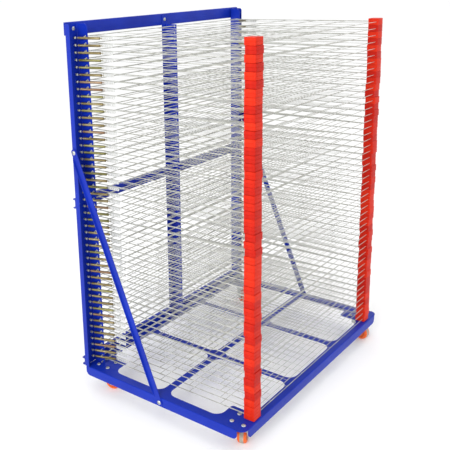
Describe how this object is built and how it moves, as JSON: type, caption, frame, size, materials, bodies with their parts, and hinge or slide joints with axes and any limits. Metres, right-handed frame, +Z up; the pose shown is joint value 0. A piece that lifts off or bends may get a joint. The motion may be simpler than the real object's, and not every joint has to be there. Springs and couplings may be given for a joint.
{
  "type": "screen printing drying rack",
  "caption": "Mobile drying rack for screen prints: wire shelves hinged one above another on a folded sheet-steel frame with castors.",
  "frame": {"origin": "on the floor, under the middle of the rack's bounding box", "axes": "+Z up, +Y towards the uprights at the rear, +X to the right seen from the front"},
  "size_m": [1.0606, 0.7332, 1.378],
  "materials": {
    "blue_powder_coat": "satin blue powder coat on folded sheet steel",
    "zinc_wire": "bright zinc-plated wire",
    "zinc_plate": "bright zinc-plated pressed steel",
    "orange_tyre": "orange polyurethane tyre on a plastic hub"
  },
  "bodies": {
    "frame": {"base_tray": "blue_powder_coat", "left_upright": "blue_powder_coat", "right_upright": "blue_powder_coat", "centre_upright": "blue_powder_coat", "top_rail": "blue_powder_coat", "mid_rail": "blue_powder_coat", "bottom_rail": "blue_powder_coat", "left_brace": "blue_powder_coat", "right_brace": "blue_powder_coat", "lower_shelves": "zinc_wire"},
    "shelf_08_body": {"shelf_08": "zinc_wire"},
    "shelf_09_body": {"shelf_09": "zinc_wire"},
    "shelf_10_body": {"shelf_10": "zinc_wire"},
    "shelf_11_body": {"shelf_11": "zinc_wire"},
    "shelf_12_body": {"shelf_12": "zinc_wire"},
    "shelf_13_body": {"shelf_13": "zinc_wire"},
    "shelf_14_body": {"shelf_14": "zinc_wire"},
    "shelf_15_body": {"shelf_15": "zinc_wire"},
    "shelf_16_body": {"shelf_16": "zinc_wire"},
    "shelf_17_body": {"shelf_17": "zinc_wire"},
    "shelf_18_body": {"shelf_18": "zinc_wire"},
    "shelf_19_body": {"shelf_19": "zinc_wire"},
    "shelf_20_body": {"shelf_20": "zinc_wire"},
    "shelf_21_body": {"shelf_21": "zinc_wire"},
    "shelf_22_body": {"shelf_22": "zinc_wire"},
    "shelf_23_body": {"shelf_23": "zinc_wire"},
    "shelf_24_body": {"shelf_24": "zinc_wire"},
    "shelf_25_body": {"shelf_25": "zinc_wire"},
    "shelf_26_body": {"shelf_26": "zinc_wire"},
    "shelf_27_body": {"shelf_27": "zinc_wire"},
    "shelf_28_body": {"shelf_28": "zinc_wire"},
    "shelf_29_body": {"shelf_29": "zinc_wire"},
    "shelf_30_body": {"shelf_30": "zinc_wire"},
    "shelf_31_body": {"shelf_31": "zinc_wire"},
    "shelf_32_body": {"shelf_32": "zinc_wire"},
    "shelf_33_body": {"shelf_33": "zinc_wire"},
    "shelf_34_body": {"shelf_34": "zinc_wire"},
    "shelf_35_body": {"shelf_35": "zinc_wire"},
    "shelf_36_body": {"shelf_36": "zinc_wire"},
    "shelf_37_body": {"shelf_37": "zinc_wire"},
    "shelf_38_body": {"shelf_38": "zinc_wire"},
    "shelf_39_body": {"shelf_39": "zinc_wire"},
    "shelf_40_body": {"shelf_40": "zinc_wire"},
    "shelf_41_body": {"shelf_41": "zinc_wire"},
    "shelf_42_body": {"shelf_42": "zinc_wire"},
    "shelf_43_body": {"shelf_43": "zinc_wire"},
    "shelf_44_body": {"shelf_44": "zinc_wire"},
    "shelf_45_body": {"shelf_45": "zinc_wire"},
    "shelf_46_body": {"shelf_46": "zinc_wire"},
    "shelf_47_body": {"shelf_47": "zinc_wire"},
    "shelf_48_body": {"shelf_48": "zinc_wire"},
    "shelf_49_body": {"shelf_49": "zinc_wire"},
    "swivel_front_left": {"castor_fork_front_left": "zinc_plate"},
    "wheel_front_left": {"castor_wheel_front_left": "orange_tyre"},
    "swivel_front_right": {"castor_fork_front_right": "zinc_plate"},
    "wheel_front_right": {"castor_wheel_front_right": "orange_tyre"},
    "swivel_rear_left": {"castor_fork_rear_left": "zinc_plate"},
    "wheel_rear_left": {"castor_wheel_rear_left": "orange_tyre"},
    "swivel_rear_right": {"castor_fork_rear_right": "zinc_plate"},
    "wheel_rear_right": {"castor_wheel_rear_right": "orange_tyre"}
  },
  "joints": [
    {"name": "shelf_49_hinge", "type": "hinge", "parent": "frame", "child": "shelf_49_body", "pos_m": [0, 0.30935, 1.3298], "axis": [-1, 0, 0], "range_deg": [0, 68]},
    {"name": "shelf_48_hinge", "type": "hinge", "parent": "frame", "child": "shelf_48_body", "pos_m": [0, 0.30935, 1.3048], "axis": [-1, 0, 0], "range_deg": [0, 66.52]},
    {"name": "shelf_47_hinge", "type": "hinge", "parent": "frame", "child": "shelf_47_body", "pos_m": [0, 0.30935, 1.2798], "axis": [-1, 0, 0], "range_deg": [0, 65.1]},
    {"name": "shelf_46_hinge", "type": "hinge", "parent": "frame", "child": "shelf_46_body", "pos_m": [0, 0.30935, 1.2548], "axis": [-1, 0, 0], "range_deg": [0, 63.73]},
    {"name": "shelf_45_hinge", "type": "hinge", "parent": "frame", "child": "shelf_45_body", "pos_m": [0, 0.30935, 1.2298], "axis": [-1, 0, 0], "range_deg": [0, 62.4]},
    {"name": "shelf_44_hinge", "type": "hinge", "parent": "frame", "child": "shelf_44_body", "pos_m": [0, 0.30935, 1.2048], "axis": [-1, 0, 0], "range_deg": [0, 61.13]},
    {"name": "shelf_43_hinge", "type": "hinge", "parent": "frame", "child": "shelf_43_body", "pos_m": [0, 0.30935, 1.1798], "axis": [-1, 0, 0], "range_deg": [0, 59.9]},
    {"name": "shelf_42_hinge", "type": "hinge", "parent": "frame", "child": "shelf_42_body", "pos_m": [0, 0.30935, 1.1548], "axis": [-1, 0, 0], "range_deg": [0, 58.72]},
    {"name": "shelf_41_hinge", "type": "hinge", "parent": "frame", "child": "shelf_41_body", "pos_m": [0, 0.30935, 1.1298], "axis": [-1, 0, 0], "range_deg": [0, 57.58]},
    {"name": "shelf_40_hinge", "type": "hinge", "parent": "frame", "child": "shelf_40_body", "pos_m": [0, 0.30935, 1.1048], "axis": [-1, 0, 0], "range_deg": [0, 56.48]},
    {"name": "shelf_39_hinge", "type": "hinge", "parent": "frame", "child": "shelf_39_body", "pos_m": [0, 0.30935, 1.0798], "axis": [-1, 0, 0], "range_deg": [0, 55.42]},
    {"name": "shelf_38_hinge", "type": "hinge", "parent": "frame", "child": "shelf_38_body", "pos_m": [0, 0.30935, 1.0548], "axis": [-1, 0, 0], "range_deg": [0, 54.39]},
    {"name": "shelf_37_hinge", "type": "hinge", "parent": "frame", "child": "shelf_37_body", "pos_m": [0, 0.30935, 1.0298], "axis": [-1, 0, 0], "range_deg": [0, 53.4]},
    {"name": "shelf_36_hinge", "type": "hinge", "parent": "frame", "child": "shelf_36_body", "pos_m": [0, 0.30935, 1.0048], "axis": [-1, 0, 0], "range_deg": [0, 52.44]},
    {"name": "shelf_35_hinge", "type": "hinge", "parent": "frame", "child": "shelf_35_body", "pos_m": [0, 0.30935, 0.9798], "axis": [-1, 0, 0], "range_deg": [0, 51.51]},
    {"name": "shelf_34_hinge", "type": "hinge", "parent": "frame", "child": "shelf_34_body", "pos_m": [0, 0.30935, 0.9548], "axis": [-1, 0, 0], "range_deg": [0, 50.62]},
    {"name": "shelf_33_hinge", "type": "hinge", "parent": "frame", "child": "shelf_33_body", "pos_m": [0, 0.30935, 0.9298], "axis": [-1, 0, 0], "range_deg": [0, 49.75]},
    {"name": "shelf_32_hinge", "type": "hinge", "parent": "frame", "child": "shelf_32_body", "pos_m": [0, 0.30935, 0.9048], "axis": [-1, 0, 0], "range_deg": [0, 48.91]},
    {"name": "shelf_31_hinge", "type": "hinge", "parent": "frame", "child": "shelf_31_body", "pos_m": [0, 0.30935, 0.8798], "axis": [-1, 0, 0], "range_deg": [0, 48.09]},
    {"name": "shelf_30_hinge", "type": "hinge", "parent": "frame", "child": "shelf_30_body", "pos_m": [0, 0.30935, 0.8548], "axis": [-1, 0, 0], "range_deg": [0, 47.3]},
    {"name": "shelf_29_hinge", "type": "hinge", "parent": "frame", "child": "shelf_29_body", "pos_m": [0, 0.30935, 0.8298], "axis": [-1, 0, 0], "range_deg": [0, 46.54]},
    {"name": "shelf_28_hinge", "type": "hinge", "parent": "frame", "child": "shelf_28_body", "pos_m": [0, 0.30935, 0.8048], "axis": [-1, 0, 0], "range_deg": [0, 45.79]},
    {"name": "shelf_27_hinge", "type": "hinge", "parent": "frame", "child": "shelf_27_body", "pos_m": [0, 0.30935, 0.7798], "axis": [-1, 0, 0], "range_deg": [0, 45.07]},
    {"name": "shelf_26_hinge", "type": "hinge", "parent": "frame", "child": "shelf_26_body", "pos_m": [0, 0.30935, 0.7548], "axis": [-1, 0, 0], "range_deg": [0, 44.37]},
    {"name": "shelf_25_hinge", "type": "hinge", "parent": "frame", "child": "shelf_25_body", "pos_m": [0, 0.30935, 0.7298], "axis": [-1, 0, 0], "range_deg": [0, 43.69]},
    {"name": "shelf_24_hinge", "type": "hinge", "parent": "frame", "child": "shelf_24_body", "pos_m": [0, 0.30935, 0.7048], "axis": [-1, 0, 0], "range_deg": [0, 43.04]},
    {"name": "shelf_23_hinge", "type": "hinge", "parent": "frame", "child": "shelf_23_body", "pos_m": [0, 0.30935, 0.6798], "axis": [-1, 0, 0], "range_deg": [0, 42.39]},
    {"name": "shelf_22_hinge", "type": "hinge", "parent": "frame", "child": "shelf_22_body", "pos_m": [0, 0.30935, 0.6548], "axis": [-1, 0, 0], "range_deg": [0, 41.77]},
    {"name": "shelf_21_hinge", "type": "hinge", "parent": "frame", "child": "shelf_21_body", "pos_m": [0, 0.30935, 0.6298], "axis": [-1, 0, 0], "range_deg": [0, 41.17]},
    {"name": "shelf_20_hinge", "type": "hinge", "parent": "frame", "child": "shelf_20_body", "pos_m": [0, 0.30935, 0.6048], "axis": [-1, 0, 0], "range_deg": [0, 40.58]},
    {"name": "shelf_19_hinge", "type": "hinge", "parent": "frame", "child": "shelf_19_body", "pos_m": [0, 0.30935, 0.5798], "axis": [-1, 0, 0], "range_deg": [0, 40]},
    {"name": "shelf_18_hinge", "type": "hinge", "parent": "frame", "child": "shelf_18_body", "pos_m": [0, 0.30935, 0.5548], "axis": [-1, 0, 0], "range_deg": [0, 39.45]},
    {"name": "shelf_17_hinge", "type": "hinge", "parent": "frame", "child": "shelf_17_body", "pos_m": [0, 0.30935, 0.5298], "axis": [-1, 0, 0], "range_deg": [0, 38.9]},
    {"name": "shelf_16_hinge", "type": "hinge", "parent": "frame", "child": "shelf_16_body", "pos_m": [0, 0.30935, 0.5048], "axis": [-1, 0, 0], "range_deg": [0, 38.38]},
    {"name": "shelf_15_hinge", "type": "hinge", "parent": "frame", "child": "shelf_15_body", "pos_m": [0, 0.30935, 0.4798], "axis": [-1, 0, 0], "range_deg": [0, 37.86]},
    {"name": "shelf_14_hinge", "type": "hinge", "parent": "frame", "child": "shelf_14_body", "pos_m": [0, 0.30935, 0.4548], "axis": [-1, 0, 0], "range_deg": [0, 37.36]},
    {"name": "shelf_13_hinge", "type": "hinge", "parent": "frame", "child": "shelf_13_body", "pos_m": [0, 0.30935, 0.4298], "axis": [-1, 0, 0], "range_deg": [0, 36.87]},
    {"name": "shelf_12_hinge", "type": "hinge", "parent": "frame", "child": "shelf_12_body", "pos_m": [0, 0.30935, 0.4048], "axis": [-1, 0, 0], "range_deg": [0, 36.39]},
    {"name": "shelf_11_hinge", "type": "hinge", "parent": "frame", "child": "shelf_11_body", "pos_m": [0, 0.30935, 0.3798], "axis": [-1, 0, 0], "range_deg": [0, 35.93]},
    {"name": "shelf_10_hinge", "type": "hinge", "parent": "frame", "child": "shelf_10_body", "pos_m": [0, 0.30935, 0.3548], "axis": [-1, 0, 0], "range_deg": [0, 35.47]},
    {"name": "shelf_09_hinge", "type": "hinge", "parent": "frame", "child": "shelf_09_body", "pos_m": [0, 0.30935, 0.3298], "axis": [-1, 0, 0], "range_deg": [0, 35.03]},
    {"name": "shelf_08_hinge", "type": "hinge", "parent": "frame", "child": "shelf_08_body", "pos_m": [0, 0.30935, 0.3048], "axis": [-1, 0, 0], "range_deg": [0, 34.6]},
    {"name": "swivel_front_left_turn", "type": "hinge", "parent": "frame", "child": "swivel_front_left", "pos_m": [-0.462, -0.31865, 0.09], "axis": [0, 0, 1], "continuous": true},
    {"name": "wheel_front_left_spin", "type": "hinge", "parent": "swivel_front_left", "child": "wheel_front_left", "pos_m": [-0.43991, -0.30927, 0.03], "axis": [0.3907, -0.9205, 0], "continuous": true},
    {"name": "swivel_front_right_turn", "type": "hinge", "parent": "frame", "child": "swivel_front_right", "pos_m": [0.457, -0.30865, 0.09], "axis": [0, 0, 1], "continuous": true},
    {"name": "wheel_front_right_spin", "type": "hinge", "parent": "swivel_front_right", "child": "wheel_front_right", "pos_m": [0.45283, -0.33228, 0.03], "axis": [-0.9848, 0.1736, 0], "continuous": true},
    {"name": "swivel_rear_left_turn", "type": "hinge", "parent": "frame", "child": "swivel_rear_left", "pos_m": [-0.462, 0.28935, 0.09], "axis": [0, 0, 1], "continuous": true},
    {"name": "wheel_rear_left_spin", "type": "hinge", "parent": "swivel_rear_left", "child": "wheel_rear_left", "pos_m": [-0.45148, 0.26778, 0.03], "axis": [-0.8988, -0.4384, 0], "continuous": true},
    {"name": "swivel_rear_right_turn", "type": "hinge", "parent": "frame", "child": "swivel_rear_right", "pos_m": [0.468, 0.29435, 0.09], "axis": [0, 0, 1], "continuous": true},
    {"name": "wheel_rear_right_spin", "type": "hinge", "parent": "swivel_rear_right", "child": "wheel_rear_right", "pos_m": [0.45673, 0.27316, 0.03], "axis": [-0.8829, 0.4695, 0], "continuous": true}
  ],
  "couplings": [
    {"joint": "shelf_48_hinge", "follows": "shelf_49_hinge", "ratio": 0.9782},
    {"joint": "shelf_47_hinge", "follows": "shelf_49_hinge", "ratio": 0.95724},
    {"joint": "shelf_46_hinge", "follows": "shelf_49_hinge", "ratio": 0.93706},
    {"joint": "shelf_45_hinge", "follows": "shelf_49_hinge", "ratio": 0.91763},
    {"joint": "shelf_44_hinge", "follows": "shelf_49_hinge", "ratio": 0.89892},
    {"joint": "shelf_43_hinge", "follows": "shelf_49_hinge", "ratio": 0.88088},
    {"joint": "shelf_42_hinge", "follows": "shelf_49_hinge", "ratio": 0.86349},
    {"joint": "shelf_41_hinge", "follows": "shelf_49_hinge", "ratio": 0.84671},
    {"joint": "shelf_40_hinge", "follows": "shelf_49_hinge", "ratio": 0.83052},
    {"joint": "shelf_39_hinge", "follows": "shelf_49_hinge", "ratio": 0.81489},
    {"joint": "shelf_38_hinge", "follows": "shelf_49_hinge", "ratio": 0.79979},
    {"joint": "shelf_37_hinge", "follows": "shelf_49_hinge", "ratio": 0.7852},
    {"joint": "shelf_36_hinge", "follows": "shelf_49_hinge", "ratio": 0.7711},
    {"joint": "shelf_35_hinge", "follows": "shelf_49_hinge", "ratio": 0.75746},
    {"joint": "shelf_34_hinge", "follows": "shelf_49_hinge", "ratio": 0.74427},
    {"joint": "shelf_33_hinge", "follows": "shelf_49_hinge", "ratio": 0.73149},
    {"joint": "shelf_32_hinge", "follows": "shelf_49_hinge", "ratio": 0.71912},
    {"joint": "shelf_31_hinge", "follows": "shelf_49_hinge", "ratio": 0.70714},
    {"joint": "shelf_30_hinge", "follows": "shelf_49_hinge", "ratio": 0.69553},
    {"joint": "shelf_29_hinge", "follows": "shelf_49_hinge", "ratio": 0.68427},
    {"joint": "shelf_28_hinge", "follows": "shelf_49_hinge", "ratio": 0.67335},
    {"joint": "shelf_27_hinge", "follows": "shelf_49_hinge", "ratio": 0.66276},
    {"joint": "shelf_26_hinge", "follows": "shelf_49_hinge", "ratio": 0.65248},
    {"joint": "shelf_25_hinge", "follows": "shelf_49_hinge", "ratio": 0.6425},
    {"joint": "shelf_24_hinge", "follows": "shelf_49_hinge", "ratio": 0.6328},
    {"joint": "shelf_23_hinge", "follows": "shelf_49_hinge", "ratio": 0.62338},
    {"joint": "shelf_22_hinge", "follows": "shelf_49_hinge", "ratio": 0.61422},
    {"joint": "shelf_21_hinge", "follows": "shelf_49_hinge", "ratio": 0.60532},
    {"joint": "shelf_20_hinge", "follows": "shelf_49_hinge", "ratio": 0.59666},
    {"joint": "shelf_19_hinge", "follows": "shelf_49_hinge", "ratio": 0.58823},
    {"joint": "shelf_18_hinge", "follows": "shelf_49_hinge", "ratio": 0.58003},
    {"joint": "shelf_17_hinge", "follows": "shelf_49_hinge", "ratio": 0.57205},
    {"joint": "shelf_16_hinge", "follows": "shelf_49_hinge", "ratio": 0.56427},
    {"joint": "shelf_15_hinge", "follows": "shelf_49_hinge", "ratio": 0.5567},
    {"joint": "shelf_14_hinge", "follows": "shelf_49_hinge", "ratio": 0.54932},
    {"joint": "shelf_13_hinge", "follows": "shelf_49_hinge", "ratio": 0.54212},
    {"joint": "shelf_12_hinge", "follows": "shelf_49_hinge", "ratio": 0.53511},
    {"joint": "shelf_11_hinge", "follows": "shelf_49_hinge", "ratio": 0.52827},
    {"joint": "shelf_10_hinge", "follows": "shelf_49_hinge", "ratio": 0.52159},
    {"joint": "shelf_09_hinge", "follows": "shelf_49_hinge", "ratio": 0.51508},
    {"joint": "shelf_08_hinge", "follows": "shelf_49_hinge", "ratio": 0.50872}
  ]
}
